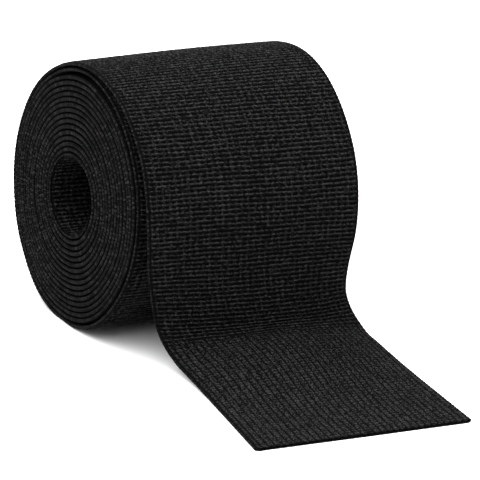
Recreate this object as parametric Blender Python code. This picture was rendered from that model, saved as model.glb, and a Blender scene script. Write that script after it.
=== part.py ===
"""Roll of wide knitted elastic, wound on itself with no core, its loose end lying in front.

The roll's axis runs along X, the loose end comes off the front (-Y) and lies on the surface
at Z = 0. The origin is on the surface, under the middle of the roll's axis. Sizes below are in
millimetres and are turned to metres where the meshes are made.
"""

import math

import bmesh
import bpy

MM = 0.001

# Driving dimensions of the tape
TAPE_WIDTH = 76.0
TAPE_THICKNESS = 1.4
PIECE_GAP = 0.3

# The wound roll: its outermost turn, its hole and the flat spot that it rests on
ROLL_RADIUS = 42.3
AXIS_HEIGHT = 42.0
# The outermost turn isn't quite round: its radius at angles turned forward from the top
BACK_RADII = (
    # degrees, radius
    (180.0, 42.3),
    (205.0, 43.0),
    (230.0, 42.3),
    (260.0, 41.65),
    (285.0, 41.7),
    (315.0, 42.05),
    (360.0, 42.3),
)
HOLE_RADIUS = 12.0
HOLE_BEHIND_AXIS = 4.5
HOLE_BELOW_AXIS = 1.4
ROUND_STEPS = 120
HOLE_STEPS = 60

# The turn under the loose end has slipped in from the outermost one at the front
SLIP_DEPTH = 3.2
STEP_STARTS_DEG = 125.0
STEP_ENDS_DEG = 170.0

# The outermost turn stands off the roll at the top, most of all at its far end
BULGE_HEIGHT = 2.3
BULGE_START_DEG = -95.0
BULGE_END_DEG = 55.0
BULGE_FULL_X = 37.0
STATIONS = 6

# The gap between the second and the third turn, a crescent on each end face
GAP_START_DEG = -38.0
GAP_END_DEG = 190.0
GAP_WIDEST_DEG = 20.0
GAP_WIDTH = 1.7
GAP_DEPTH = 7.0
GAP_STEPS = 48

# The loose end's two edges. Each lies on the roll to leave_deg past the top, falls on an arc of
# fall_radius until its heading is lean_deg, runs straight, turns out on an arc of bend_radius
# until it slopes by toe_deg, and settles on the surface on an arc of toe_radius. cut_reach is
# how far in front of the axis it is cut.
LOOSE_EDGES = {
    "near": {"leave_deg": 66.8, "fall_radius": 55.5, "lean_deg": 92.0, "bend_radius": 11.0,
             "toe_deg": 13.3, "toe_radius": 95.3, "cut_reach": 103.3},
    "far": {"leave_deg": 68.0, "fall_radius": 44.3, "lean_deg": 97.7, "bend_radius": 8.9,
            "toe_deg": 12.7, "toe_radius": 94.6, "cut_reach": 106.1},
}
# Number of steps along each stretch of an edge, and across the tape
STRETCH_STEPS = {"wrap": 16, "fall": 10, "straight": 4, "bend": 12, "toe": 8, "lying": 6}
ACROSS_STEPS = 6

# How far the loose end's edges have shifted along X, at these distances along it from the top
DRIFT = (
    # distance, near edge, far edge
    (0.0, 0.0, 0.0),
    (40.0, 0.2, 0.4),
    (70.0, 1.0, 0.7),
    (90.0, 5.8, 1.5),
    (105.0, 11.6, 8.8),
    (120.0, 12.3, 10.3),
    (140.0, 9.3, 8.3),
    (170.0, 3.8, 5.0),
)

# The loose end's middle bows out between its edges at the foot, around this distance along it
FOOT_BOW = 4.5
FOOT_BOW_AT = 109.5
FOOT_BOW_REACH = 43.0

# Finish of the black knitted elastic
ELASTIC_COLOR = (0.0125, 0.0125, 0.0135, 1.0)
ELASTIC_ROUGHNESS = 0.85


def clear_scene():
    """Remove every object that the scene starts with."""
    for item in list(bpy.data.objects):
        bpy.data.objects.remove(item, do_unlink=True)


def elastic_material(name):
    """Return a matte black knitted-elastic material."""
    material = bpy.data.materials.new(name)
    material.use_nodes = True
    shader = material.node_tree.nodes["Principled BSDF"]
    shader.inputs["Base Color"].default_value = ELASTIC_COLOR
    shader.inputs["Roughness"].default_value = ELASTIC_ROUGHNESS
    shader.inputs["Metallic"].default_value = 0.0
    return material


def add_object(name, verts, faces, sharp_deg):
    """Make a smooth-shaded mesh object from points in millimetres and faces."""
    mesh = bpy.data.meshes.new(name)
    mesh.from_pydata([(x * MM, y * MM, z * MM) for x, y, z in verts], [], faces)
    builder = bmesh.new()
    builder.from_mesh(mesh)
    bmesh.ops.recalc_face_normals(builder, faces=builder.faces)
    builder.to_mesh(mesh)
    builder.free()
    mesh.shade_smooth()
    mesh.set_sharp_from_angle(angle=math.radians(sharp_deg))
    item = bpy.data.objects.new(name, mesh)
    bpy.context.collection.objects.link(item)
    item.data.materials.append(elastic_material(name + "_elastic"))
    return item


def on_section(radius, turn_deg):
    """Return Y and Z of a point at a radius from the axis, turned forward from the top."""
    turn = math.radians(turn_deg)
    y = -radius * math.sin(turn)
    z = AXIS_HEIGHT + radius * math.cos(turn)
    return y, max(z, 0.0)


def eased(table, at):
    """Return a table's value at a place, with an even rise or fall between its rows."""
    for (low, low_value), (high, high_value) in zip(table, table[1:]):
        if at <= high:
            share = (1.0 - math.cos(math.pi * (at - low) / (high - low))) / 2.0
            return low_value + (high_value - low_value) * share
    return table[-1][1]


def bulge_height(turn_deg):
    """Return how far the outermost turn stands off the roll at its far end."""
    if turn_deg > 180.0:
        turn_deg -= 360.0
    side = BULGE_START_DEG if turn_deg < 0.0 else BULGE_END_DEG
    share = min(turn_deg / side, 1.0)
    return BULGE_HEIGHT * (1.0 + math.cos(math.pi * share)) / 2.0


def bulge_across(x):
    """Return the share of that height at a place across the roll."""
    half = TAPE_WIDTH / 2.0
    return math.sin(math.pi / 2.0 * min((x + half) / (BULGE_FULL_X + half), 1.0))


def outer_radius(turn_deg):
    """Return the roll's radius: one step smaller, and slipped in, where the loose end lies."""
    if turn_deg >= 180.0:
        return eased(BACK_RADII, turn_deg)
    fade = (STEP_ENDS_DEG - turn_deg) / (STEP_ENDS_DEG - STEP_STARTS_DEG)
    fade = min(max(fade, 0.0), 1.0)
    step = (TAPE_THICKNESS + PIECE_GAP) * fade
    slip = SLIP_DEPTH * math.sin(math.radians(turn_deg))
    return ROLL_RADIUS - step - slip


def section_outline(x):
    """Return the roll's outer outline, from the step at the top round the front and back."""
    outline = []
    for i in range(ROUND_STEPS + 1):
        turn_deg = 360.0 * i / ROUND_STEPS
        radius = outer_radius(turn_deg)
        if turn_deg >= 180.0:
            radius += bulge_height(turn_deg) * bulge_across(x)
        outline.append(on_section(radius, turn_deg))
    return outline


def hole_outline():
    """Return the hole's outline, in the same sense as the outer one."""
    outline = []
    for i in range(HOLE_STEPS):
        turn = 2.0 * math.pi * i / HOLE_STEPS
        y = HOLE_BEHIND_AXIS - HOLE_RADIUS * math.sin(turn)
        z = AXIS_HEIGHT - HOLE_BELOW_AXIS + HOLE_RADIUS * math.cos(turn)
        outline.append((y, z))
    return outline


def crescent_outline():
    """Return the outline of the gap between the second and the third turn."""
    outer = []
    inner = []
    for i in range(GAP_STEPS + 1):
        turn_deg = GAP_START_DEG + (GAP_END_DEG - GAP_START_DEG) * i / GAP_STEPS
        if turn_deg <= GAP_WIDEST_DEG:
            share = (turn_deg - GAP_START_DEG) / (GAP_WIDEST_DEG - GAP_START_DEG)
        else:
            share = (GAP_END_DEG - turn_deg) / (GAP_END_DEG - GAP_WIDEST_DEG)
        width = GAP_WIDTH * math.sin(math.pi / 2.0 * share)
        if turn_deg < 0.0:
            rim = outer_radius(0.0) - TAPE_THICKNESS
        else:
            rim = outer_radius(min(turn_deg, 180.0)) - TAPE_THICKNESS
        outer.append(on_section(rim, turn_deg))
        if 0 < i < GAP_STEPS:
            inner.append(on_section(rim - width, turn_deg))
    return outer + inner[::-1]


def loft(name, outlines, places, sharp_deg):
    """Join closed outlines of Y and Z at their places along X, with a flat cap at each end."""
    count = len(outlines[0])
    verts = [(x, y, z) for x, outline in zip(places, outlines) for y, z in outline]
    faces = []
    for k in range(0, len(verts) - count, count):
        for i in range(count):
            after = (i + 1) % count
            faces.append((k + i, k + after, k + count + after, k + count + i))
    faces.append(tuple(range(count)))
    faces.append(tuple(range(len(verts) - count, len(verts))))
    return add_object(name, verts, faces, sharp_deg)


def prism(name, outline, low_x, high_x, sharp_deg):
    """Extrude a closed outline of Y and Z along X."""
    return loft(name, [outline, outline], [low_x, high_x], sharp_deg)


def cut(target, cutter):
    """Cut one object out of another and leave the cutter as a hidden guide."""
    cutter.hide_render = True
    cutter.display_type = "WIRE"
    modifier = target.modifiers.new(cutter.name, "BOOLEAN")
    modifier.operation = "DIFFERENCE"
    modifier.solver = "EXACT"
    modifier.object = cutter


def build_wound_roll():
    """Build the wound form: its stepped outline, its hole and the gap on both end faces."""
    half = TAPE_WIDTH / 2.0
    places = [-half + TAPE_WIDTH * k / STATIONS for k in range(STATIONS + 1)]
    roll = loft("wound_roll", [section_outline(x) for x in places], places, 30.0)
    cut(roll, prism("cut_hole", hole_outline(), -half - 5.0, half + 5.0, 30.0))
    crescent = crescent_outline()
    cut(roll, prism("cut_gap_near", crescent, -half - 5.0, -half + GAP_DEPTH, 30.0))
    cut(roll, prism("cut_gap_far", crescent, half - GAP_DEPTH, half + 5.0, 30.0))
    return roll


def drift(distance, column):
    """Return an edge's shift along X, on a smooth curve through its column of the table."""
    last = len(DRIFT) - 1
    slopes = []
    for i in range(last + 1):
        before = DRIFT[max(i - 1, 0)]
        after = DRIFT[min(i + 1, last)]
        slopes.append((after[column] - before[column]) / (after[0] - before[0]))
    i = 0
    while i < last - 1 and distance > DRIFT[i + 1][0]:
        i += 1
    low = DRIFT[i]
    high = DRIFT[i + 1]
    span = high[0] - low[0]
    t = (distance - low[0]) / span
    start = (2 * t ** 3 - 3 * t ** 2 + 1) * low[column] + (t ** 3 - 2 * t ** 2 + t) * span * slopes[i]
    end = (3 * t ** 2 - 2 * t ** 3) * high[column] + (t ** 3 - t ** 2) * span * slopes[i + 1]
    return start + end


def foot_bow(distance):
    """Return how far the loose end's middle bows out from between its edges."""
    share = min(abs(distance - FOOT_BOW_AT) / FOOT_BOW_REACH, 1.0)
    return FOOT_BOW * (1.0 + math.cos(math.pi * share)) / 2.0


def arc(start, radius, to_heading, steps):
    """Return points (y, z, heading) on an arc from a point of that kind to a new heading."""
    y0, z0, heading = start
    sense = 1.0 if to_heading > heading else -1.0
    points = []
    for i in range(1, steps + 1):
        turn = heading + (to_heading - heading) * i / steps
        y = y0 - sense * radius * (math.sin(turn) - math.sin(heading))
        z = z0 - sense * radius * (math.cos(heading) - math.cos(turn))
        points.append((y, z, turn))
    return points


def edge_path(edge, side_x):
    """Return points (y, z, heading) down the middle of one edge's thickness.

    The heading is the angle below level of the way the tape runs, 90 degrees straight down.
    """
    middle = ROLL_RADIUS - TAPE_THICKNESS / 2.0
    leave = math.radians(edge["leave_deg"])
    lean = math.radians(edge["lean_deg"])
    toe = math.radians(edge["toe_deg"])
    points = []
    first = PIECE_GAP / middle
    for i in range(STRETCH_STEPS["wrap"] + 1):
        turn = first + (leave - first) * i / STRETCH_STEPS["wrap"]
        radius = middle + bulge_height(math.degrees(turn)) * bulge_across(side_x)
        points.append((-radius * math.sin(turn), AXIS_HEIGHT + radius * math.cos(turn), turn))
    points += arc(points[-1], edge["fall_radius"], lean, STRETCH_STEPS["fall"])
    y1, z1, _ = points[-1]
    lying_height = TAPE_THICKNESS / 2.0
    bend_drop = edge["bend_radius"] * (math.cos(toe) - math.cos(lean))
    toe_drop = edge["toe_radius"] * (1.0 - math.cos(toe))
    straight = (z1 - bend_drop - toe_drop - lying_height) / math.sin(lean)
    for i in range(1, STRETCH_STEPS["straight"] + 1):
        run = straight * i / STRETCH_STEPS["straight"]
        points.append((y1 - run * math.cos(lean), z1 - run * math.sin(lean), lean))
    points += arc(points[-1], edge["bend_radius"], toe, STRETCH_STEPS["bend"])
    points += arc(points[-1], edge["toe_radius"], 0.0, STRETCH_STEPS["toe"])
    y3 = points[-1][0]
    for i in range(1, STRETCH_STEPS["lying"] + 1):
        y = y3 + (-edge["cut_reach"] - y3) * i / STRETCH_STEPS["lying"]
        points.append((y, lying_height, 0.0))
    return points


def edge_rows(edge, side_x, column):
    """Return (outer corner, inner corner, distance, heading) at each point of one edge."""
    rows = []
    distance = 0.0
    previous = None
    half = TAPE_THICKNESS / 2.0
    for y, z, turn in edge_path(edge, side_x):
        if previous is not None:
            distance += math.hypot(y - previous[0], z - previous[1])
        previous = (y, z)
        x = side_x + drift(distance, column)
        out_y = -math.sin(turn) * half
        out_z = math.cos(turn) * half
        rows.append(((x, y + out_y, z + out_z), (x, y - out_y, z - out_z), distance, turn))
    return rows


def blend(low, high, share, foot, heading):
    """Return the point at a share of the way between two points, bowed out as the tape is."""
    x, y, z = (a + (b - a) * share for a, b in zip(low, high))
    turn = math.atan2(-y, z - AXIS_HEIGHT)
    bow = bulge_across((share - 0.5) * TAPE_WIDTH) - share
    bow *= bulge_height(math.degrees(turn))
    foot *= 4.0 * share * (1.0 - share)
    y -= bow * math.sin(turn) + foot * math.sin(heading)
    z += bow * math.cos(turn) + foot * math.cos(heading)
    return x, y, max(z, 0.0)


def build_loose_end():
    """Build the loose end: one sheet off the roll's top, down its front and out to its cut."""
    half = TAPE_WIDTH / 2.0
    near = edge_rows(LOOSE_EDGES["near"], -half, 1)
    far = edge_rows(LOOSE_EDGES["far"], half, 2)
    rows = len(near)
    columns = ACROSS_STEPS + 1
    verts = []
    for side in (0, 1):
        for low, high in zip(near, far):
            foot = foot_bow((low[2] + high[2]) / 2.0)
            heading = (low[3] + high[3]) / 2.0
            for j in range(columns):
                verts.append(blend(low[side], high[side], j / ACROSS_STEPS, foot, heading))
    layer = rows * columns
    faces = []
    for i in range(rows - 1):
        for j in range(ACROSS_STEPS):
            a = i * columns + j
            faces.append((a, a + 1, a + columns + 1, a + columns))
            faces.append((layer + a + columns, layer + a + columns + 1, layer + a + 1, layer + a))
        for j in (0, ACROSS_STEPS):
            a = i * columns + j
            faces.append((a, a + columns, layer + a + columns, layer + a))
    for i in (0, rows - 1):
        for j in range(ACROSS_STEPS):
            a = i * columns + j
            faces.append((a, a + 1, layer + a + 1, layer + a))
    return add_object("loose_end", verts, faces, 40.0)


def main():
    """Build the roll and its loose end."""
    clear_scene()
    build_wound_roll()
    build_loose_end()


main()
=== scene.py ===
"""Roll of wide black knitted elastic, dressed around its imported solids.

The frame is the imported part's own: X along the roll's axis, -Y the way the loose end runs out,
Z up, the surface at Z = 0. Sizes of the tape and the camera's place are in millimetres, and they
become metres where a mesh or the camera is made. The studio is given in metres. The tape is one
length: distances along it are counted from the top of the roll, positive towards the cut and
negative into the winding.
"""

from __future__ import annotations

import logging
import math
from dataclasses import dataclass
from enum import Enum

import bpy
import numpy as np
from mathutils import Matrix, Vector


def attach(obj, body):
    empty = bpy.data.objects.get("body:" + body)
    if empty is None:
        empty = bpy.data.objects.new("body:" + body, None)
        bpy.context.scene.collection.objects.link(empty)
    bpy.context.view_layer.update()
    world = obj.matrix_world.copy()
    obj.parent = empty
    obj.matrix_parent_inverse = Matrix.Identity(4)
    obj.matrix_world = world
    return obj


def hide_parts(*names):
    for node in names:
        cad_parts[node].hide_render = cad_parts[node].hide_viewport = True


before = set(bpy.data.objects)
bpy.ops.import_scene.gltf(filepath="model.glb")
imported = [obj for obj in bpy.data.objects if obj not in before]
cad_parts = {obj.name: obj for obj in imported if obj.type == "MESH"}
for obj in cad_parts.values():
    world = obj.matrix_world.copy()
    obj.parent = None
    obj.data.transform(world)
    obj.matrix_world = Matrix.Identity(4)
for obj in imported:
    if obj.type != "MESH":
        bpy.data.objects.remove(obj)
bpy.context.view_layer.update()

MM = 0.001
TINY = 1e-6
LOG = logging.getLogger("roll_of_elastic")


def linear(hex_colour: str) -> tuple[float, float, float, float]:
    """Turn an sRGB hex colour into linear values, on the sRGB curve.

    Args:
        hex_colour: Six hex digits, with or without a leading mark.

    Returns:
        Linear red, green, blue and an alpha of 1.
    """
    digits = hex_colour.lstrip("#")
    values = []
    for start in (0, 2, 4):
        level = int(digits[start:start + 2], 16) / 255.0
        values.append(level / 12.92 if level <= 0.04045 else ((level + 0.055) / 1.055) ** 2.4)
    return values[0], values[1], values[2], 1.0


def add_node(
    tree: bpy.types.NodeTree,
    kind: str,
    settings: dict[str, object] | None = None,
    inputs: dict[str | int, object] | None = None,
) -> bpy.types.Node:
    """Add a node with its settings, socket values and links.

    Args:
        tree: The node tree that it goes into.
        kind: The node's type name.
        settings: Properties of the node itself.
        inputs: A value or an output socket for each named or numbered input.

    Returns:
        The new node.
    """
    node = tree.nodes.new(kind)
    for name, value in (settings or {}).items():
        setattr(node, name, value)
    for name, value in (inputs or {}).items():
        if isinstance(value, bpy.types.NodeSocket):
            tree.links.new(value, node.inputs[name])
        else:
            node.inputs[name].default_value = value
    return node


def scatter(row: np.ndarray, column: np.ndarray, seed: float) -> np.ndarray:
    """Return an even spread of values from 0 to 1, the same each run, one for each cell."""
    spread = np.sin(row * 12.9898 + column * 78.233 + seed * 37.719) * 43758.5453
    return spread - np.floor(spread)


def sway(x: np.ndarray, y: np.ndarray, seed: float) -> np.ndarray:
    """Return a smooth, uneven wave, three sines of unlike length and direction.

    Args:
        x: Place in one direction, where the longest wave takes about 13.
        y: Place in the other direction.
        seed: Which wave it is.

    Returns:
        Values from about -1 to 1.
    """
    first = np.sin(x * 1.00 + y * 0.61 + seed)
    second = np.sin(x * 0.47 - y * 1.13 + seed * 2.3 + 1.7)
    third = np.sin(x * 1.63 + y * 1.71 + seed * 3.1 + 4.2)
    return (first + second + 0.6 * third) / 2.6


def smooth_step(low: float, high: float, value: np.ndarray) -> np.ndarray:
    """Return 0 at low and before it, 1 at high and past it, and an S-shaped rise between them."""
    share = np.clip((value - low) / (high - low), 0.0, 1.0)
    return share * share * (3.0 - 2.0 * share)


def bell(offset: np.ndarray, width: float) -> np.ndarray:
    """Return 1 where the offset is 0, falling away on a bell curve of that half width."""
    return np.exp(-((offset / width) ** 2))


class FaceDetail(Enum):
    """How finely one face of the tape is divided across its width."""

    PLAIN = "plain"
    EDGES = "edges"
    FULL = "full"


class Hold(Enum):
    LAID = "laid"
    DRAPED = "draped"


@dataclass(frozen=True)
class Knit:
    """The elastic's stitches: crosswise courses parted by rows of small holes, in lengthwise wales.

    A course is counted from the middle of one row of holes to the middle of the next, and a
    place within it is a share of it. Heights run from 0 in a hole to 1 on a crown. The height is
    also the tape's tone, so the holes, lines and grooves carry painted shade.
    """

    half_width: float = 38.3
    thickness: float = 1.4
    course: float = 1.44
    wale: float = 2.3
    depth: float = 0.55
    scallop: float = 0.07
    fine_rows: tuple[float, ...] = (0.0, 0.15, 0.27, 0.43, 0.64, 0.86)
    medium_rows: tuple[float, ...] = (0.0, 0.16, 0.36, 0.62, 0.84)
    plain_rows: tuple[float, ...] = (0.0, 0.33, 0.67)
    # How far a course strays, in waves so many millimetres and so many courses long.
    slow_waver: float = 0.20
    slow_across: float = 7.0
    slow_courses: float = 4.2
    quick_waver: float = 0.07
    quick_across: float = 1.3
    quick_courses: float = 1.2
    loop_waver: float = 0.03
    # Where within a course the crown rises out of the holes, slopes and falls to the next ones.
    rise: tuple[float, float] = (0.14, 0.34)
    slope: tuple[float, float] = (0.36, 0.76)
    slope_drop: float = 0.50
    fall: tuple[float, float] = (0.64, 0.94)
    ground: float = 0.02
    # Yarns lie at uneven heights.
    yarns_per_course: float = 6.0
    yarn_width: float = 0.2875
    yarn_drop: float = 0.34
    # Lines between the wales and fainter ones down their middles, both deeper where relaxed.
    line_width: float = 0.12
    line_depth: float = 0.12
    line_relaxing: float = 0.48
    half_line_width: float = 0.10
    half_line_depth: float = 0.06
    half_line_relaxing: float = 0.10
    # How far the holes close up where the tape is relaxed, less beside the lines.
    closed: float = 0.62
    closed_beside_line: float = 1.7
    # Threads across the holes, in shares of a wale: some lie low and some holes are covered.
    thread_stray: float = 0.20
    thread_width: float = 0.07
    thread_width_spread: float = 0.12
    thread_side: float = 0.14
    thread_height: float = 0.48
    low_thread_height: float = 0.14
    low_thread_share: float = 0.20
    covered_share: float = 0.04
    covered_sway: float = 0.12
    cover_side: tuple[float, float] = (0.20, 0.34)
    cover_height: float = 0.40
    # The selvedge: a band with one bump to each course, and a groove just inside it.
    band: float = 0.6
    band_side: tuple[float, float] = (0.15, 0.2)
    band_height: float = 0.45
    band_bump: float = 0.10
    groove_depth: float = 0.40
    groove_inset: float = 0.15
    groove_width: float = 0.25

    def rows(self, first_course: int, last_course: int, within: tuple[float, ...]) -> np.ndarray:
        """Return the course count of each row of points between two whole courses."""
        courses = np.arange(first_course, last_course)[:, None] + np.array(within)[None, :]
        return np.concatenate([courses.reshape(-1), [float(last_course)]])

    def waver(self, across: np.ndarray, course: np.ndarray) -> np.ndarray:
        """Return how far a course strays from a straight line.

        Args:
            across: Millimetres from the tape's middle line.
            course: Courses counted along the tape.

        Returns:
            Millimetres along the tape.
        """
        slow = self.slow_waver * sway(across / self.slow_across, course / self.slow_courses, 1.0)
        quick = self.quick_waver * sway(across / self.quick_across, course / self.quick_courses, 5.0)
        loops = self.loop_waver * np.cos(2.0 * math.pi * (across + self.half_width) / self.wale)
        return slow + quick + loops

    def relief(self, across: np.ndarray, course: np.ndarray, relaxed: np.ndarray) -> np.ndarray:
        """Return the height of a face's stitches.

        Where the tape is drawn tight its rows of holes are open. Where it lies relaxed they
        close up, and its wales stand out as lengthwise ribs instead.

        Args:
            across: Millimetres from the tape's middle line.
            course: Courses counted along the tape.
            relaxed: From 0 where the tape is tight to 1 where it lies relaxed.

        Returns:
            0 in the holes between stitches, 1 on their crowns.
        """
        within = course - np.floor(course + TINY)
        wale = (across + self.half_width) / self.wale
        after_hole = smooth_step(*self.rise, within)
        before_next = 1.0 - smooth_step(*self.fall, within)
        sloping = 1.0 - self.slope_drop * smooth_step(*self.slope, within)
        yarn_row = np.floor(course * self.yarns_per_course)
        yarn_column = np.floor(across / self.yarn_width + 0.5)
        yarn = 1.0 - self.yarn_drop * scatter(yarn_row, yarn_column, 1.0)
        line = bell(wale - np.floor(wale + 0.5), self.line_width)
        line = line * (self.line_depth + self.line_relaxing * relaxed)
        half_line = bell(wale - np.floor(wale) - 0.5, self.half_line_width)
        half_line = half_line * (self.half_line_depth + self.half_line_relaxing * relaxed)
        crown = after_hole * before_next * sloping * (1.0 - line) * (1.0 - half_line) * yarn
        hole = 1.0 - after_hole * before_next
        closed = self.closed * relaxed * np.clip(1.0 - self.closed_beside_line * line, 0.0, 1.0)
        filled = hole * np.maximum(self.crossing(wale, course), closed)
        height = self.ground + (1.0 - self.ground) * crown + filled
        inward = self.half_width - np.abs(across)
        outer_side, inner_side = self.band_side
        in_band = 1.0 - smooth_step(self.band - outer_side, self.band + inner_side, inward)
        cord = self.band_height + self.band_bump * np.cos(2.0 * math.pi * (course - 0.5))
        groove = self.groove_depth * bell(inward - self.band - self.groove_inset, self.groove_width)
        return np.clip(height * (1.0 - in_band) + cord * in_band - groove, 0.0, 1.0)

    def crossing(self, wale: np.ndarray, course: np.ndarray) -> np.ndarray:
        """Return the height of the threads that cross a row of holes, one or two to each wale.

        Args:
            wale: Wales counted across the tape.
            course: Courses counted along it.

        Returns:
            0 where a hole is open.
        """
        row = np.floor(course + 0.5)
        cell = np.floor(wale)
        stray = self.thread_stray * (scatter(row, cell, 3.0) - 0.5)
        offset = np.abs(wale - cell - 0.5 - stray)
        width = self.thread_width + self.thread_width_spread * scatter(row, cell, 5.0)
        thread = 1.0 - smooth_step(width, width + self.thread_side, offset)
        low = scatter(row, cell, 2.0) < self.low_thread_share
        column = np.floor(wale + 0.5)
        slack = self.covered_share + self.covered_sway * sway(wale / 3.6, course / 6.0, 9.0)
        covered = scatter(row, column, 7.0) < slack
        cover = 1.0 - smooth_step(*self.cover_side, np.abs(wale - column))
        threads = np.where(low, self.low_thread_height, self.thread_height) * thread
        return np.maximum(threads, self.cover_height * covered * cover)


@dataclass(frozen=True)
class TapeSection:
    """The columns of points round the tape's cross-section, from the near selvedge round."""

    outer: FaceDetail
    inner: FaceDetail
    knit: Knit = Knit()
    corner: float = 0.9
    corner_squareness: float = 0.8
    edge_steps: int = 8
    per_stitch: int = 4
    margin: float = 5.0
    middle_columns: int = 7
    least_gap: float = 0.3
    plain_margin: float = 1.6

    def face(self, detail: FaceDetail) -> np.ndarray:
        """Return one face's columns from near to far, without the rounded selvedges.

        Args:
            detail: How finely the face is divided.

        Returns:
            Millimetres from the tape's middle line.
        """
        step = self.knit.wale / 2.0 / self.per_stitch
        reach = self.knit.half_width - self.corner
        fine = np.arange(-math.floor(reach / step), math.floor(reach / step) + 1) * step
        if detail is FaceDetail.FULL:
            return fine
        if detail is FaceDetail.EDGES:
            middle = np.linspace(-reach + self.margin, reach - self.margin, self.middle_columns)
            low = fine[fine < middle[0] - self.least_gap]
            high = fine[fine > middle[-1] + self.least_gap]
            return np.concatenate([low, middle, high])
        return np.array([-reach + self.plain_margin, 0.0, reach - self.plain_margin])

    def columns(self) -> tuple[np.ndarray, np.ndarray, np.ndarray]:
        """Return each column's distance across, its lift and how far the relief shows there.

        Returns:
            across in millimetres, lift as a share of half the thickness from -1 on the inner
            face to 1 on the outer one, and the weight of the relief from 0 to 1.
        """
        turn = np.linspace(-0.5 * math.pi, 0.5 * math.pi, self.edge_steps + 1)
        edge_across = -self.knit.half_width + self.corner * (1.0 - np.cos(turn))
        edge_lift = np.sign(np.sin(turn)) * np.abs(np.sin(turn)) ** self.corner_squareness
        outer = self.face(self.outer)
        inner = self.face(self.inner)[::-1]
        across = np.concatenate([edge_across, outer, -edge_across[::-1], inner])
        lift = np.concatenate([edge_lift, np.ones(len(outer)), edge_lift[::-1], -np.ones(len(inner))])
        inner_weight = 0.0 if self.inner is FaceDetail.PLAIN else 1.0
        outer_weight = 0.0 if self.outer is FaceDetail.PLAIN else 1.0
        weight = np.where(lift > 0.0, lift * outer_weight, -lift * inner_weight)
        return across, lift, np.clip(weight, 0.0, 1.0)


@dataclass(frozen=True)
class OuterTurn:
    """The outermost turn's unevenness: not quite round, and standing off at the far top."""

    middle_radius: float = 41.6
    back_deg: tuple[float, ...] = (180.0, 205.0, 230.0, 260.0, 285.0, 315.0, 360.0)
    back_rise: tuple[float, ...] = (0.0, 0.7, 0.0, -0.65, -0.6, -0.25, 0.0)
    bulge: float = 2.3
    bulge_start_deg: float = -95.0
    bulge_end_deg: float = 55.0
    bulge_full_x: float = 37.0
    half_width: float = 38.0

    def rise(self, turn_deg: np.ndarray) -> np.ndarray:
        """Return how far the turn is out of round.

        Args:
            turn_deg: Angles forward from the top.

        Returns:
            Millimetres outwards.
        """
        at = np.array(self.back_deg)
        by = np.array(self.back_rise)
        i = np.clip(np.searchsorted(at, turn_deg, side="left") - 1, 0, len(at) - 2)
        share = np.clip((turn_deg - at[i]) / (at[i + 1] - at[i]), 0.0, 1.0)
        return by[i] + (by[i + 1] - by[i]) * (1.0 - np.cos(math.pi * share)) / 2.0

    def lift(self, turn_deg: np.ndarray) -> np.ndarray:
        """Return how far the turn stands off the roll at its far selvedge.

        Args:
            turn_deg: Angles forward from the top.

        Returns:
            Millimetres outwards.
        """
        turned = np.where(turn_deg > 180.0, turn_deg - 360.0, turn_deg)
        side = np.where(turned < 0.0, self.bulge_start_deg, self.bulge_end_deg)
        share = np.clip(turned / side, 0.0, 1.0)
        return self.bulge * (1.0 + np.cos(math.pi * share)) / 2.0

    def across(self, x: np.ndarray) -> np.ndarray:
        """Return the share of that lift at places across the tape."""
        share = (x + self.half_width) / (self.bulge_full_x + self.half_width)
        return np.sin(0.5 * math.pi * np.clip(share, 0.0, 1.0))


@dataclass
class TapeRows:
    """Rows of points along a stretch of the tape, given by its two selvedges.

    Inset draws both selvedges in. Swell is the share of the full thickness. Lift is how far the
    outer turn stands off at its far selvedge, and foot how far the middle bows out. Free is how
    far the courses may stray, and relaxed runs from 0 where the tape is tight to 1.
    """

    near: np.ndarray
    far: np.ndarray
    near_out: np.ndarray
    far_out: np.ndarray
    along: np.ndarray
    thickness: np.ndarray
    inset: np.ndarray
    swell: np.ndarray
    lift: np.ndarray
    foot: np.ndarray
    free: np.ndarray
    relaxed: np.ndarray

    def length(self) -> float:
        """Return the stretch's flat length in millimetres."""
        return float(abs(self.along[-1] - self.along[0]))


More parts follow.
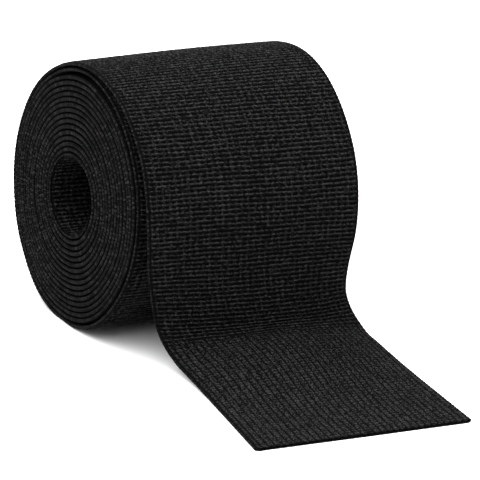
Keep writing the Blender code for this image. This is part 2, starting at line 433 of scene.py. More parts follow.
@dataclass(frozen=True)
class TapeCloth:
    """Makes the mesh of one stretch of the tape, a closed sheet with its stitches in relief.

    The cut is rippled from wale to wale. Tone is the knit's height, which gives painted shade in
    its holes and hollows, dimmed further by painted shade on the cut end where the tape closes
    over it and in a band round its rounded selvedges.
    """

    section: TapeSection
    knit: Knit = Knit()
    outer_turn: OuterTurn = OuterTurn()
    cut_ripple: float = 0.40
    # Painted shade on the cut end.
    end_painted_shade: float = 0.30
    end_swell: float = 0.6
    # Painted shade in a band round the rounded selvedges.
    rim_shade: float = 0.65
    rim_place: float = 0.30
    rim_width: float = 0.22
    sharp_deg: float = 80.0
    map_margin: float = 0.01
    map_height: float = 0.94
    cap_middle: tuple[float, float] = (0.25, 0.975)
    cap_size: tuple[float, float] = (0.2, 0.015)
    cap_apart: float = 0.5

    def points(self, rows: TapeRows) -> tuple[np.ndarray, np.ndarray, np.ndarray]:
        """Return the mesh's points, the across distances and the tones.

        Args:
            rows: The stretch of tape.

        Returns:
            Points in millimetres, and for each the distance across and the tone from 0 to 1, painted
            shade included.
        """
        across, lift, weight = self.section.columns()
        course = rows.along[:, None] / self.knit.course
        across_all = np.broadcast_to(across[None, :], (len(rows.along), len(across)))
        # The height is also the tone, so low places get painted shade.
        height = self.knit.relief(across_all, course, rows.relaxed[:, None])
        half = self.knit.half_width
        edge_share = np.sqrt(np.clip(1.0 - lift[None, :] ** 2, 0.0, 1.0))
        bump = self.knit.scallop * np.cos(2.0 * math.pi * (course - 0.5))
        placed = across_all * (1.0 - rows.inset[:, None] / half)
        placed = placed + np.sign(across_all) * bump * edge_share
        share = (placed + half) / (2.0 * half)
        share = share[:, :, None]
        base = rows.near[:, None, :] * (1.0 - share) + rows.far[:, None, :] * share
        out = rows.near_out[:, None, :] * (1.0 - share) + rows.far_out[:, None, :] * share
        out = out / np.linalg.norm(out, axis=2, keepdims=True)
        raised = lift[None, :] * rows.thickness[:, None] / 2.0 * rows.swell[:, None]
        sunk = np.sign(lift)[None, :] * weight[None, :] * self.knit.depth * (1.0 - height)
        bow = rows.lift[:, None] * (self.outer_turn.across(placed) - share[:, :, 0])
        bow = bow + rows.foot[:, None] * 4.0 * share[:, :, 0] * (1.0 - share[:, :, 0])
        offset = raised + bow - sunk * np.clip(rows.swell[:, None], 0.0, 1.0)
        ahead = np.stack([np.zeros_like(offset), out[:, :, 2], -out[:, :, 1]], axis=2)
        waver = self.knit.waver(across_all, course) * rows.free[:, None]
        ripple = 0.5 - 0.5 * np.cos(2.0 * math.pi * (across + half) / self.knit.wale)
        waver = waver + self.cut_ripple * ripple[None, :] * (1.0 - rows.free[:, None])
        points = base + out * offset[:, :, None] - ahead * waver[:, :, None]
        # Painted shade on the cut end, deeper where the tape thins over it.
        end = self.end_painted_shade + (1.0 - self.end_painted_shade) * smooth_step(self.end_swell, 1.0, rows.swell)
        # Painted shade in a band round the rounded selvedges, where they turn away from the face.
        rim = np.clip((np.abs(across) - half + self.section.corner) / self.section.corner, 0.0, 1.0)
        turned = 1.0 - self.rim_shade * bell(rim - self.rim_place, self.rim_width)
        return points, across_all, height * end[:, None] * turned[None, :]

    def faces(self, row_count: int, column_count: int) -> np.ndarray:
        """Return the faces round the tape.

        Args:
            row_count: Rows of points along the tape.
            column_count: Columns of points round it.

        Returns:
            Four point numbers for each face.
        """
        row = np.arange(row_count - 1)[:, None] * column_count
        here = np.arange(column_count)[None, :]
        after = (here + 1) % column_count
        corners = [row + here, row + column_count + here, row + column_count + after, row + after]
        return np.stack(corners, axis=2).reshape(-1, 4)

    def build(self, name: str, rows: TapeRows) -> bpy.types.Object:
        """Make the mesh object of one stretch.

        Args:
            name: The piece's name.
            rows: The stretch of tape.

        Returns:
            The new object, in metres.
        """
        points, across, tone = self.points(rows)
        row_count, column_count = across.shape
        quads = self.faces(row_count, column_count)
        first_ring = np.arange(column_count)
        last_ring = first_ring + (row_count - 1) * column_count
        corners = np.concatenate([quads.reshape(-1), first_ring, last_ring[::-1]])
        sizes = np.concatenate([np.full(len(quads), 4), [column_count, column_count]])
        starts = np.concatenate([[0], np.cumsum(sizes)[:-1]])
        mesh = bpy.data.meshes.new(name)
        mesh.vertices.add(row_count * column_count)
        mesh.vertices.foreach_set("co", (points * MM).astype(np.float32).reshape(-1))
        mesh.loops.add(len(corners))
        mesh.loops.foreach_set("vertex_index", corners.astype(np.int32))
        mesh.polygons.add(len(sizes))
        mesh.polygons.foreach_set("loop_start", starts.astype(np.int32))
        mesh.polygons.foreach_set("loop_total", sizes.astype(np.int32))
        mesh.update(calc_edges=True)
        self.lay_out(mesh, rows, across, corners)
        # The tone, painted shade included, goes on the points as an attribute.
        stitch_and_shade = mesh.attributes.new("stitch_and_shade", "FLOAT", "POINT")
        stitch_and_shade.data.foreach_set("value", tone.astype(np.float32).reshape(-1))
        mesh.shade_smooth()
        mesh.set_sharp_from_angle(angle=math.radians(self.sharp_deg))
        item = bpy.data.objects.new(name, mesh)
        bpy.context.collection.objects.link(item)
        return item

    def lay_out(
        self,
        mesh: bpy.types.Mesh,
        rows: TapeRows,
        across: np.ndarray,
        corners: np.ndarray,
    ) -> None:
        """Give the mesh a map in millimetres of tape, and one flat map with no overlap for export.

        The flat map cuts the stretch into strips side by side, with its two end faces above them.

        Args:
            mesh: The stretch's mesh.
            rows: The stretch of tape.
            across: Each point's distance across.
            corners: The point number at each corner of the mesh.
        """
        row_count, column_count = across.shape
        along = np.broadcast_to(rows.along[:, None], across.shape)
        tape = np.stack([across, along], axis=2).reshape(-1, 2)
        layer = mesh.uv_layers.new(name="tape_mm", do_init=False)
        layer.data.foreach_set("uv", tape[corners].astype(np.float32).reshape(-1))
        layer.active_render = True
        girth = 4.0 * self.knit.half_width
        strips = max(1, round(math.sqrt(rows.length() / girth)))
        per_strip = math.ceil((row_count - 1) / strips)
        face_row = np.repeat(np.arange(row_count - 1), column_count)
        face_column = np.tile(np.arange(column_count), row_count - 1)
        strip = face_row // per_strip
        right = (face_column[:, None] + np.array([0, 0, 1, 1])[None, :]) / column_count
        right = self.map_margin + (1.0 - 2.0 * self.map_margin) * right
        up = (face_row - strip * per_strip)[:, None] + np.array([0, 1, 1, 0])[None, :]
        up = self.map_margin + self.map_height * up / per_strip
        flat = np.stack([(strip[:, None] + right) / strips, up], axis=2).reshape(-1, 2)
        turn = 2.0 * math.pi * np.arange(column_count) / column_count
        ring = np.stack([np.cos(turn), np.sin(turn)], axis=1)
        cap = np.array(self.cap_middle) + np.array(self.cap_size) * ring
        flat = np.concatenate([flat, cap, cap + np.array([self.cap_apart, 0.0])])
        bake = mesh.uv_layers.new(name="OFBake", do_init=False)
        bake.data.foreach_set("uv", flat.astype(np.float32).reshape(-1))


@dataclass(frozen=True)
class BlackElastic:
    """Black knitted elastic, textured polyester yarn over covered rubber threads.

    Matte and charcoal on the stitches' crowns, the yarn's own colour. Near black in the holes,
    lines and grooves, and dimmer on the cut end and round the selvedges: painted shade, carried in
    with the knit's height. The yarn's width is a real one. A single filament, about 0.02 mm, is too
    fine to show, so the fibre grain is drawn as coarse as it needs to show.
    """

    # The gap colour is painted shade; the crown colour is the yarn's own.
    gap_painted_shade_colour: str = "#010101"
    ground_colour: str = "#070707"
    crown_colour: str = "#2b2b2c"
    gap_painted_shade_level: float = 0.20
    ground_level: float = 0.48
    crown_level: float = 0.95
    roughness: float = 0.8
    specular: float = 0.03
    yarn: float = 0.33
    yarn_contrast: float = 1.7
    yarn_base: float = 0.15
    patch: float = 14.0
    patch_contrast: float = 0.06
    patch_base: float = 0.97
    fibre: float = 0.09
    fibre_height: float = 0.4
    bump_height: float = 0.00008

    def material(self, name: str) -> bpy.types.Material:
        """Return the finish as a node material, scaled in millimetres of tape.

        Args:
            name: The material's name.

        Returns:
            The new material.
        """
        material = bpy.data.materials.new(name)
        material.use_nodes = True
        tree = material.node_tree
        tree.nodes.clear()
        place = add_node(tree, "ShaderNodeUVMap", {"uv_map": "tape_mm"})
        # The knit's tone with its painted shade in holes, hollows, cut end and selvedge rims.
        stitch_and_shade = add_node(tree, "ShaderNodeAttribute", {"attribute_name": "stitch_and_shade"})
        yarn = add_node(
            tree,
            "ShaderNodeTexVoronoi",
            {"voronoi_dimensions": "2D"},
            {"Vector": place.outputs["UV"], "Scale": 1.0 / self.yarn, "Randomness": 0.8},
        )
        patch = add_node(
            tree,
            "ShaderNodeTexNoise",
            {"noise_dimensions": "2D"},
            {"Vector": place.outputs["UV"], "Scale": 1.0 / self.patch, "Detail": 2.0},
        )
        uneven = add_node(
            tree,
            "ShaderNodeMath",
            {"operation": "MULTIPLY_ADD"},
            {0: yarn.outputs["Color"], 1: self.yarn_contrast, 2: self.yarn_base},
        )
        patchy = add_node(
            tree,
            "ShaderNodeMath",
            {"operation": "MULTIPLY_ADD"},
            {0: patch.outputs["Fac"], 1: self.patch_contrast, 2: self.patch_base},
        )
        mottled = add_node(
            tree,
            "ShaderNodeMath",
            {"operation": "MULTIPLY"},
            {0: stitch_and_shade.outputs["Fac"], 1: uneven.outputs[0]},
        )
        level = add_node(
            tree,
            "ShaderNodeMath",
            {"operation": "MULTIPLY"},
            {0: mottled.outputs[0], 1: patchy.outputs[0]},
        )
        ramp = add_node(tree, "ShaderNodeValToRGB", None, {"Fac": level.outputs[0]})
        self.colour_steps(ramp.color_ramp)
        grain = add_node(
            tree,
            "ShaderNodeTexNoise",
            {"noise_dimensions": "2D"},
            {"Vector": place.outputs["UV"], "Scale": 1.0 / self.fibre, "Detail": 2.0},
        )
        height = add_node(
            tree,
            "ShaderNodeMath",
            {"operation": "MULTIPLY_ADD"},
            {0: grain.outputs["Fac"], 1: self.fibre_height, 2: uneven.outputs[0]},
        )
        bump = add_node(
            tree,
            "ShaderNodeBump",
            None,
            {"Height": height.outputs[0], "Distance": self.bump_height, "Strength": 1.0},
        )
        shader = add_node(
            tree,
            "ShaderNodeBsdfPrincipled",
            None,
            {
                "Base Color": ramp.outputs["Color"],
                "Roughness": self.roughness,
                "Specular IOR Level": self.specular,
                "Normal": bump.outputs["Normal"],
            },
        )
        add_node(tree, "ShaderNodeOutputMaterial", None, {"Surface": shader.outputs["BSDF"]})
        return material

    def colour_steps(self, ramp: bpy.types.ColorRamp) -> None:
        """Set the ramp from the painted shade of the gaps, near black, to the crowns' charcoal.

        Args:
            ramp: The colour ramp, new and with two steps.
        """
        ramp.elements[0].position = self.gap_painted_shade_level
        ramp.elements[0].color = linear(self.gap_painted_shade_colour)
        ramp.elements[1].position = self.crown_level
        ramp.elements[1].color = linear(self.crown_colour)
        ramp.elements.new(self.ground_level).color = linear(self.ground_colour)


@dataclass(frozen=True)
class PaleBoard:
    """Painted studio board, rolled on matt, so that it only takes the soft shadow."""

    colour: str = "#f4f4f4"
    roughness: float = 0.9
    specular: float = 0.1

    def material(self, name: str) -> bpy.types.Material:
        """Return the board's finish.

        Args:
            name: The material's name.

        Returns:
            The new material.
        """
        material = bpy.data.materials.new(name)
        material.use_nodes = True
        shader = material.node_tree.nodes["Principled BSDF"]
        shader.inputs["Base Color"].default_value = linear(self.colour)
        shader.inputs["Roughness"].default_value = self.roughness
        shader.inputs["Specular IOR Level"].default_value = self.specular
        return material


@dataclass(frozen=True)
class LooseEdge:
    """One selvedge of the loose end, off the roll's top and down its front to the cut."""

    leave_deg: float
    fall_radius: float
    lean_deg: float
    bend_radius: float
    toe_deg: float
    toe_radius: float
    cut_reach: float
    dense: int = 160

    def line(self, axis_height: float, outer_turn: OuterTurn, side: float, lying: float) -> np.ndarray:
        """Return the edge's line.

        Args:
            axis_height: Height of the roll's axis.
            outer_turn: The turn that the loose end is the last of.
            side: The edge's X on the roll.
            lying: Height of the tape's middle where it lies on the surface.

        Returns:
            Rows of y, z and heading, the angle below level of the way the tape runs.
        """
        lean = math.radians(self.lean_deg)
        toe = math.radians(self.toe_deg)
        share = np.linspace(0.0, 1.0, self.dense)[1:]
        turn = np.linspace(0.0, math.radians(self.leave_deg), self.dense)
        radius = outer_turn.middle_radius
        radius = radius + outer_turn.lift(np.degrees(turn)) * outer_turn.across(np.array(side))
        wrap = np.stack([-radius * np.sin(turn), axis_height + radius * np.cos(turn), turn], axis=1)
        fall = self.arc(wrap[-1], self.fall_radius, lean)
        y1, z1, _ = fall[-1]
        bend_drop = self.bend_radius * (math.cos(toe) - math.cos(lean))
        toe_drop = self.toe_radius * (1.0 - math.cos(toe))
        run = (z1 - bend_drop - toe_drop - lying) / math.sin(lean) * share
        straight = np.stack(
            [y1 - run * math.cos(lean), z1 - run * math.sin(lean), np.full(len(run), lean)], axis=1
        )
        bend = self.arc(straight[-1], self.bend_radius, toe)
        settling = self.arc(bend[-1], self.toe_radius, 0.0)
        y3 = settling[-1][0]
        out = y3 + (-self.cut_reach - y3) * share
        flat = np.stack([out, np.full(len(out), lying), np.zeros(len(out))], axis=1)
        return np.concatenate([wrap, fall, straight, bend, settling, flat])

    def arc(self, start: np.ndarray, radius: float, to_heading: float) -> np.ndarray:
        """Return an arc from one row of the line to a new heading.

        Args:
            start: The row of y, z and heading that it starts from.
            radius: The arc's radius.
            to_heading: The heading that it ends with.

        Returns:
            Rows of y, z and heading, without the first.
        """
        y0, z0, heading = start
        sense = 1.0 if to_heading > heading else -1.0
        turn = np.linspace(heading, to_heading, self.dense)[1:]
        y = y0 - sense * radius * (np.sin(turn) - math.sin(heading))
        z = z0 - sense * radius * (math.cos(heading) - np.cos(turn))
        return np.stack([y, z, turn], axis=1)


@dataclass(frozen=True)
class LooseEnd:
    """The loose end: off the roll's top, down its front, and flat on the surface to its cut."""

    near: LooseEdge = LooseEdge(66.8, 55.5, 92.0, 11.0, 13.3, 95.3, 103.3)
    far: LooseEdge = LooseEdge(68.0, 44.3, 97.7, 8.9, 12.7, 94.6, 106.1)
    drift_at: tuple[float, ...] = (0.0, 40.0, 70.0, 90.0, 105.0, 120.0, 140.0, 170.0)
    near_drift: tuple[float, ...] = (0.0, 0.2, 1.0, 5.8, 11.6, 12.3, 9.3, 3.8)
    far_drift: tuple[float, ...] = (0.0, 0.4, 0.7, 1.5, 8.8, 10.3, 8.3, 5.0)
    foot_bow: float = 4.5
    foot_bow_at: float = 109.5
    foot_bow_reach: float = 43.0
    axis_height: float = 42.0
    outer_turn: OuterTurn = OuterTurn()
    on_roll_courses: int = 38
    fall_courses: int = 76
    relaxed_from: float = 66.0
    relaxed_over: float = 7.0
    # The rows that close the cut, in courses past it, and the share of the thickness at each.
    cut_rows: tuple[float, ...] = (0.05, 0.075, 0.085)
    cut_swell: tuple[float, ...] = (0.84, 0.5, 0.05)
    cut_corner: float = 0.9
    past_cut: float = 0.1
    # Courses run straighter over the last few before the cut.
    straight_courses: float = 2.0
    least_free: float = 0.15
    knit: Knit = Knit()

    def drift(self, distance: np.ndarray, shifts: tuple[float, ...]) -> np.ndarray:
        """Return an edge's shift along X, on a smooth curve.

        Args:
            distance: Distances from the top.
            shifts: The shifts at the distances in drift_at.

        Returns:
            The shift at each distance.
        """
        at = np.array(self.drift_at)
        by = np.array(shifts)
        before = np.maximum(np.arange(len(at)) - 1, 0)
        after = np.minimum(np.arange(len(at)) + 1, len(at) - 1)
        slope = (by[after] - by[before]) / (at[after] - at[before])
        i = np.clip(np.searchsorted(at, distance, side="right") - 1, 0, len(at) - 2)
        span = at[i + 1] - at[i]
        t = (distance - at[i]) / span
        start = (2 * t ** 3 - 3 * t ** 2 + 1) * by[i] + (t ** 3 - 2 * t ** 2 + t) * span * slope[i]
        end = (3 * t ** 2 - 2 * t ** 3) * by[i + 1] + (t ** 3 - t ** 2) * span * slope[i + 1]
        return start + end

    def bow(self, distance: np.ndarray) -> np.ndarray:
        """Return how far the tape's middle bows out from between its edges, at the foot."""
        share = np.clip(np.abs(distance - self.foot_bow_at) / self.foot_bow_reach, 0.0, 1.0)
        return self.foot_bow * (1.0 + np.cos(math.pi * share)) / 2.0

    def selvedge(
        self,
        edge: LooseEdge,
        side: float,
        shifts: tuple[float, ...],
        share: np.ndarray,
    ) -> tuple[np.ndarray, np.ndarray, float]:
        """Return points and outward directions at shares of one selvedge's length.

        Args:
            edge: The selvedge.
            side: Its X where the tape leaves the top.
            shifts: Its shifts along X, for the distances in drift_at.
            share: From 0 at the top to 1 at the cut.

        Returns:
            Points, unit vectors out of the outer face, and the selvedge's length.
        """
        line = edge.line(self.axis_height, self.outer_turn, side, self.knit.thickness / 2.0)
        step = np.hypot(np.diff(line[:, 0]), np.diff(line[:, 1]))
        distance = np.concatenate([[0.0], np.cumsum(step)])
        at = share * distance[-1]
        y = np.interp(at, distance, line[:, 0])
        z = np.interp(at, distance, line[:, 1])
        turn = np.interp(at, distance, line[:, 2])
        x = side + self.drift(at, shifts)
        points = np.stack([x, y, z], axis=1)
        out = np.stack([np.zeros(len(turn)), -np.sin(turn), np.cos(turn)], axis=1)
        return points, out, float(distance[-1])

    def courses(self) -> int:
        """Return the number of whole courses in the loose end.

        Returns:
            Courses from the top to the cut.
        """
        ends = np.array([0.0, 1.0])
        half = self.knit.half_width
        _, _, near = self.selvedge(self.near, -half, self.near_drift, ends)
        _, _, far = self.selvedge(self.far, half, self.far_drift, ends)
        return round((near + far) / 2.0 / self.knit.course)

    def rows(self, first_course: int, last_course: int) -> TapeRows:
        """Return the rows between two courses, closed over the cut where the tape ends.

        Args:
            first_course: The course that the stretch starts with, counted from the top.
            last_course: The course that it ends with.

        Returns:
            The stretch's rows.
        """
        total = self.courses()
        course = self.knit.rows(first_course, last_course, self.knit.fine_rows)
        swell = np.ones(len(course))
        if last_course == total:
            course = np.concatenate([course, total + np.array(self.cut_rows)])
            swell = np.concatenate([swell, self.cut_swell])
        share = np.minimum(course / total, 1.0 + self.past_cut / total)
        half = self.knit.half_width
        near, near_out, near_length = self.selvedge(self.near, -half, self.near_drift, share)
        far, far_out, far_length = self.selvedge(self.far, half, self.far_drift, share)
        beyond = np.clip(course - total, 0.0, 1.0) * self.knit.course
        near[:, 1] -= beyond
        far[:, 1] -= beyond
        to_cut = np.clip((total - course) * self.knit.course, 0.0, self.cut_corner)
        inset = self.cut_corner - np.sqrt(self.cut_corner ** 2 - (self.cut_corner - to_cut) ** 2)
        middle = (near + far) / 2.0
        turn_deg = np.degrees(np.arctan2(-middle[:, 1], middle[:, 2] - self.axis_height))
        relaxed_at = self.relaxed_from + self.relaxed_over
        return TapeRows(
            near=near,
            far=far,
            near_out=near_out,
            far_out=far_out,
            along=course * self.knit.course,
            thickness=np.full(len(course), self.knit.thickness),
            inset=inset,
            swell=swell,
            lift=self.outer_turn.lift(turn_deg),
            foot=self.bow(share * (near_length + far_length) / 2.0),
            free=np.clip((total - course) / self.straight_courses, self.least_free, 1.0),
            relaxed=smooth_step(self.relaxed_from, relaxed_at, course),
        )

    def build(self, finish: bpy.types.Material) -> list[bpy.types.Object]:
        """Args:
            finish: The elastic's material.

        Returns:
            The pieces, from the top to the cut.
        """
        cloth = TapeCloth(TapeSection(FaceDetail.FULL, FaceDetail.PLAIN))
        leaves = self.on_roll_courses
        foot = self.fall_courses
        stretches = (
            ("loose_end_on_roll", 0, leaves, Hold.DRAPED, ["outer_turn_upper"]),
            ("loose_end_falling", leaves, foot, Hold.DRAPED, ["loose_end_on_roll"]),
            ("loose_end_lying", foot, self.courses(), Hold.LAID, ["loose_end_falling"]),
        )
        pieces = []
        for name, first, last, hold, rests_on in stretches:
            rows = self.rows(first, last)
            piece = cloth.build(name, rows)
            piece.data.materials.append(finish)
            dress(piece, "loose_end")
            pieces.append(piece)
        return pieces


@dataclass(frozen=True)
class Stretch:
    """One stretch of the winding that becomes a piece, its ends counted in turns."""

    name: str
    first_turn: float
    last_turn: float
    outer: FaceDetail
    inner: FaceDetail
    per_stitch: int
    within: tuple[float, ...]


@dataclass(frozen=True)
class WoundTurns:
    """The winding: the outermost turn round the back, the slipped turn below it, and the rest.

    Turns are counted inwards from the top, where the loose end starts.
    """

    axis_height: float = 42.0
    outer_turn: OuterTurn = OuterTurn()
    hole_radius: float = 11.9
    hole_behind: float = 4.5
    hole_below: float = 1.4
    turns: float = 16.9
    inner_end: float = 16.75
    line_spare: float = 0.02
    tightness: float = 0.06
    slip: float = 3.2
    step_starts_deg: float = 125.0
    step_ends_deg: float = 170.0
    gap_start_deg: float = -38.0
    gap_end_deg: float = 190.0
    gap_widest_deg: float = 20.0
    gap_width: float = 1.6
    steps: int = 720
    look: float = 0.25
    # How far turns stray from round, and how high each of the lowest layers lies over the last.
    uneven: float = 0.16
    layer_rise: float = 1.45
    layers_raised: float = 2.0
    # Selvedges stand out of true by these, reached some way into the winding.
    slow_shift: float = 0.16
    quick_shift: float = 0.12
    settle_turns: float = 0.6
    # The tape's thickness follows the room that the winding leaves it.
    clearance: float = 0.16
    thinnest: float = 1.12
    thickest: float = 1.42
    full_until: float = 0.3
    # The inner end is pressed flat against the turn outside it.
    pressed_turns: float = 0.16
    pressed_swell: float = 0.12
    knit: Knit = Knit()

    def hole_line(self, turn_deg: np.ndarray) -> np.ndarray:
        """Return the hole's radius from the roll's axis.

        Args:
            turn_deg: Angles forward from the top.

        Returns:
            The radius at each angle.
        """
        turn = np.radians(turn_deg)
        towards = -np.sin(turn) * self.hole_behind - np.cos(turn) * self.hole_below
        offset = self.hole_behind ** 2 + self.hole_below ** 2
        return towards + np.sqrt(self.hole_radius ** 2 - offset + towards ** 2)

    def depth_share(self, turn: np.ndarray) -> np.ndarray:
        """Return how much of the way to the hole is left at a turn, from 1 to 0."""
        share = turn / self.turns
        return (1.0 - share) * (1.0 + self.tightness * share)

    def gap(self, turn: np.ndarray) -> np.ndarray:
        """Return the width of the open gap below each point of the second turn.

        Args:
            turn: Turns counted inwards.

        Returns:
            The gap's width, 0 on every other turn.
        """
        turn_deg = 360.0 * (1.0 - turn)
        rising = (turn_deg - self.gap_start_deg) / (self.gap_widest_deg - self.gap_start_deg)
        falling = (self.gap_end_deg - turn_deg) / (self.gap_end_deg - self.gap_widest_deg)
        share = np.clip(np.minimum(rising, falling), 0.0, 1.0)
        return self.gap_width * np.sin(0.5 * math.pi * share)

    def line(self) -> tuple[np.ndarray, np.ndarray, np.ndarray, np.ndarray]:
        """Return the winding's middle line.

        Returns:
            The turn count, y, z and the pitch to the next turn at each point.
        """
        share = np.arange(self.steps) / self.steps
        turn_deg = 360.0 * (1.0 - share)
        hole = self.hole_line(turn_deg)
        first = self.hole_line(np.array([360.0]))[0]
        middle_radius = self.outer_turn.middle_radius
        step = (middle_radius - first) * (1.0 - self.depth_share(np.array([1.0]))[0])
        fade = smooth_step(self.step_ends_deg, self.step_starts_deg, turn_deg)
        slip = np.where(turn_deg < 180.0, self.slip * np.sin(np.radians(turn_deg)), 0.0)
        rise = np.where(turn_deg < 180.0, 0.0, self.outer_turn.rise(turn_deg))
        radius = middle_radius + rise - step * fade - slip
        radii = []
        pitches = []
        for whole in range(math.ceil(self.inner_end) + 1):
            turn = whole + share
            gap = self.gap(turn)
            left = self.depth_share(np.minimum(turn, self.turns))
            after = self.depth_share(np.minimum(turn + 1.0, self.turns))
            pitch = (radius - hole - gap) * (1.0 - after / np.maximum(left, TINY)) + gap
            radii.append(radius)
            pitches.append(pitch - gap)
            radius = radius - pitch
        radius = np.concatenate(radii)
        turn = np.arange(len(radius)) / self.steps
        used = turn <= self.inner_end + self.line_spare
        pitch = np.concatenate(pitches)[used]
        turn = turn[used]
        angle = 2.0 * math.pi * (1.0 - turn)
        uneven = self.uneven * self.depth_share(turn) ** 0.5 * np.clip(turn - 1.0, 0.0, 1.0)
        radius = radius[used] + uneven * sway(angle * 2.0, turn * 0.9, 3.0)
        y = -radius * np.sin(angle)
        z = self.axis_height + radius * np.cos(angle)
        layer = np.clip(turn - 0.5, 0.0, self.layers_raised)
        z = np.maximum(z, self.knit.thickness / 2.0 + layer * self.layer_rise)
        return turn, y, z, pitch

    def rows(self, stretch: Stretch) -> TapeRows:
        """Return the rows of one stretch of the winding, from its inner to its outer end.

        Args:
            stretch: The stretch.

        Returns:
            The stretch's rows.
        """
        turn, y, z, pitch = self.line()
        distance = np.concatenate([[0.0], np.cumsum(np.hypot(np.diff(y), np.diff(z)))])
        course = self.knit.course
        ends = np.interp([stretch.first_turn, stretch.last_turn], turn, distance)
        first = round(ends[0] / course)
        last = round(ends[1] / course)
        at = -self.knit.rows(-last, -first, stretch.within) * course
        along_turn = np.interp(at, distance, turn)
        points_y = np.interp(at, distance, y)
        points_z = np.interp(at, distance, z)
        after = at + self.look
        before = np.maximum(at - self.look, 0.0)
        ahead_y = np.interp(after, distance, y) - np.interp(before, distance, y)
        ahead_z = np.interp(after, distance, z) - np.interp(before, distance, z)
        size = np.hypot(ahead_y, ahead_z)
        out = np.stack([np.zeros(len(at)), -ahead_z / size, ahead_y / size], axis=1)
        facing = out[:, 1] * points_y + out[:, 2] * (points_z - self.axis_height)
        out = np.where(facing[:, None] < 0.0, -out, out)
        half = self.knit.half_width
        settle = np.clip(along_turn / self.settle_turns, 0.0, 1.0)
        near_shift = settle * self.edge_shift(along_turn, 2.0)
        far_shift = settle * self.edge_shift(along_turn, 7.0)
        near = np.stack([-half + near_shift, points_y, points_z], axis=1)
        far = np.stack([half + far_shift, points_y, points_z], axis=1)
        lift = np.where(along_turn < 0.5, self.outer_turn.lift(360.0 * (1.0 - along_turn)), 0.0)
        far = far + out * lift[:, None]
        room = np.interp(along_turn, turn, pitch)
        fitted = np.clip(room - self.clearance, self.thinnest, self.thickest)
        full = self.knit.thickness
        thickness = full + (fitted - full) * np.clip(along_turn - self.full_until, 0.0, 1.0)
        pressed_from = self.inner_end - self.pressed_turns
        swell = 1.0 - smooth_step(pressed_from, self.inner_end, along_turn)
        shift = (0.5 * thickness * (1.0 - swell))[:, None] * out
        near = near + shift
        far = far + shift
        return TapeRows(
            near=near,
            far=far,
            near_out=out,
            far_out=out.copy(),
            along=-at,
            thickness=thickness,
            inset=np.zeros(len(at)),
            swell=self.pressed_swell + (1.0 - self.pressed_swell) * swell,
            lift=lift,
            foot=np.zeros(len(at)),
            free=np.ones(len(at)),
            relaxed=np.zeros(len(at)),
        )

    def edge_shift(self, turn: np.ndarray, seed: float) -> np.ndarray:
        """Return how far a selvedge stands out of true along the winding.

        Args:
            turn: Turns counted inwards.
            seed: Which selvedge it is.

        Returns:
            Millimetres along the roll's axis.
        """
        slow = self.slow_shift * sway(turn * 4.1, turn * 1.3, seed)
        quick = self.quick_shift * sway(turn * 11.0, turn * 2.0, seed + 1.0)
        return slow + quick

    def build(self, finish: bpy.types.Material) -> list[bpy.types.Object]:
        """Args:
            finish: The elastic's material.

        Returns:
            The pieces, from the outside in.
        """
        full = FaceDetail.FULL
        edges = FaceDetail.EDGES
        plain = FaceDetail.PLAIN
        stretches = (
            Stretch("outer_turn_upper", 0.0, 0.27, full, plain, 3, self.knit.medium_rows),
            Stretch("outer_turn_lower", 0.27, 0.54, full, plain, 3, self.knit.medium_rows),
            Stretch("turn_under_loose_end", 0.54, 1.12, edges, plain, 4, self.knit.medium_rows),
            Stretch("outer_turns", 1.12, 5.0, plain, plain, 2, self.knit.plain_rows),
            Stretch("middle_turns", 5.0, 10.0, plain, plain, 2, self.knit.plain_rows),
            Stretch("inner_turns", 10.0, 15.72, plain, plain, 2, self.knit.plain_rows),
            Stretch("innermost_turn", 15.72, self.inner_end, plain, full, 2, self.knit.medium_rows),
        )
        pieces = []
        for stretch in stretches:
            rows = self.rows(stretch)
            section = TapeSection(stretch.outer, stretch.inner, per_stitch=stretch.per_stitch)
            piece = TapeCloth(section).build(stretch.name, rows)
            piece.data.materials.append(finish)
            dress(piece, "wound_roll")
            pieces.append(piece)
        return pieces


def dress(
    piece: bpy.types.Object,
    node: str,
) -> None:
    """Args:
        piece: The piece.
        node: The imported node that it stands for.
    """
    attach(piece, "root")
    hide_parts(node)


@dataclass(frozen=True)
class SoftBox:
    """A studio lamp behind a diffuser, its places and sizes in metres."""

    name: str
    place: tuple[float, float, float]
    aim: tuple[float, float, float]
    size: tuple[float, float]
    power: float

    def build(self) -> bpy.types.Object:
        """Hang the lamp.

        Returns:
            The lamp, turned towards its aim.
        """
        light = bpy.data.lights.new(self.name, "AREA")
        light.shape = "RECTANGLE"
        light.size, light.size_y = self.size
        light.energy = self.power
        lamp = bpy.data.objects.new(self.name, light)
        bpy.context.collection.objects.link(lamp)
        lamp.location = self.place
        way = Vector(self.aim) - Vector(self.place)
        lamp.rotation_euler = way.to_track_quat("-Z", "Y").to_euler()
        return lamp


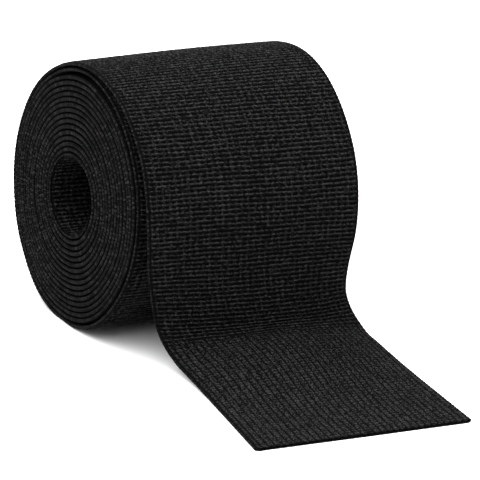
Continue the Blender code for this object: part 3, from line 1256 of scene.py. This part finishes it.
@dataclass(frozen=True)
class Studio:
    """A pale board under soft light from above, with a weaker fill from the left, in metres."""

    board_side: float = 8.0
    board_drop: float = 0.00002
    sky: str = "#f4f4f4"
    sky_strength: float = 0.42
    boxes: tuple[SoftBox, ...] = (
        SoftBox("box_above", (-0.40, -0.08, 1.5), (0.0, -0.04, 0.03), (2.8, 2.6), 144.0),
        SoftBox("box_left", (-1.30, -0.60, 0.50), (-0.03, -0.07, 0.0), (0.9, 0.8), 3.0),
    )

    def build(self) -> None:
        """Lay the board, hang the lamps and set the sky."""
        half = self.board_side / 2.0
        corners = [(-half, -half, 0.0), (half, -half, 0.0), (half, half, 0.0), (-half, half, 0.0)]
        mesh = bpy.data.meshes.new("studio_board")
        mesh.from_pydata(corners, [], [(0, 1, 2, 3)])
        board = bpy.data.objects.new("studio_board", mesh)
        bpy.context.collection.objects.link(board)
        board.location.z = -self.board_drop
        board.data.materials.append(PaleBoard().material("painted_board_matt"))
        for box in self.boxes:
            box.build()
        world = bpy.data.worlds.new("studio_sky")
        world.use_nodes = True
        background = world.node_tree.nodes["Background"]
        background.inputs["Color"].default_value = linear(self.sky)
        background.inputs["Strength"].default_value = self.sky_strength
        bpy.context.scene.world = world


@dataclass(frozen=True)
class PhotoCamera:
    """The camera that the photograph was fitted with: a long lens, turned slightly on its side.

    Its place is in millimetres, its angles in radians and its clipping distances in metres.
    """

    place: tuple[float, float, float] = (-491.04, -751.83, 347.05)
    yaw: float = 0.6009
    pitch: float = 0.3427
    roll: float = 0.1168
    lens: float = 225.0
    sensor: float = 36.0
    clip_start: float = 0.01
    clip_end: float = 50.0

    def build(self) -> bpy.types.Object:
        """Place the camera and make it the scene's.

        Returns:
            The camera.
        """
        forward = Vector(
            (
                math.sin(self.yaw) * math.cos(self.pitch),
                math.cos(self.yaw) * math.cos(self.pitch),
                -math.sin(self.pitch),
            )
        )
        level = Vector((math.cos(self.yaw), -math.sin(self.yaw), 0.0))
        above = level.cross(forward)
        right = math.cos(self.roll) * level + math.sin(self.roll) * above
        up = -math.sin(self.roll) * level + math.cos(self.roll) * above
        data = bpy.data.cameras.new("photo_camera")
        data.lens = self.lens
        data.sensor_width = self.sensor
        data.clip_start = self.clip_start
        data.clip_end = self.clip_end
        camera = bpy.data.objects.new("photo_camera", data)
        bpy.context.collection.objects.link(camera)
        turned = Matrix((right, up, -forward)).transposed().to_4x4()
        camera.matrix_world = Matrix.Translation(Vector(self.place) * MM) @ turned
        bpy.context.scene.camera = camera
        return camera


def main() -> None:
    """Build the camera, the studio and the tape, and report each piece."""
    PhotoCamera().build()
    Studio().build()
    view = bpy.context.scene.view_settings
    view.view_transform = "Standard"
    view.look = "None"
    finish = BlackElastic().material("black_elastic_knitted")
    pieces = WoundTurns().build(finish) + LooseEnd().build(finish)
    for piece in pieces:
        LOG.info("%s: %d faces", piece.name, len(piece.data.polygons))


if __name__ == "__main__":
    logging.basicConfig(level=logging.INFO, format="%(message)s")
    main()
